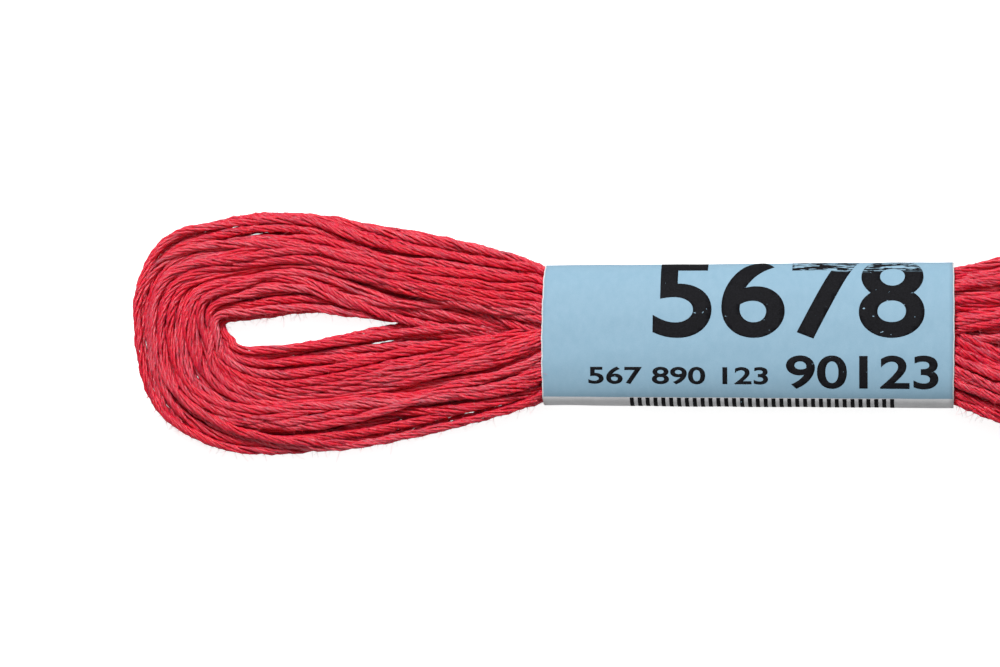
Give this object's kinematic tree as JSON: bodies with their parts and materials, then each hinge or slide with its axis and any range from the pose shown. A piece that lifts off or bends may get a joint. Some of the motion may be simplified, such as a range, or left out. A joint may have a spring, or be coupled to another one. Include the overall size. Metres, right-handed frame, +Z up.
{
  "type": "skein of embroidery floss",
  "caption": "Hank of coral red six-strand cotton floss with an open loop at each end, held round its middle by a light blue paper band.",
  "frame": {"origin": "on the table under the middle of the whole skein, which is the middle of the paper band", "axes": "+X along the skein from one end loop to the other, +Y across it in the table's plane, +Z up from the table"},
  "size_m": [0.1197, 0.0245, 0.0058],
  "materials": {
    "floss": "soft sheen, mercerised cotton",
    "band_paper": "smooth coated paper"
  },
  "bodies": {
    "root": {"floss_hank": "floss", "paper_band": "band_paper"}
  },
  "joints": []
}
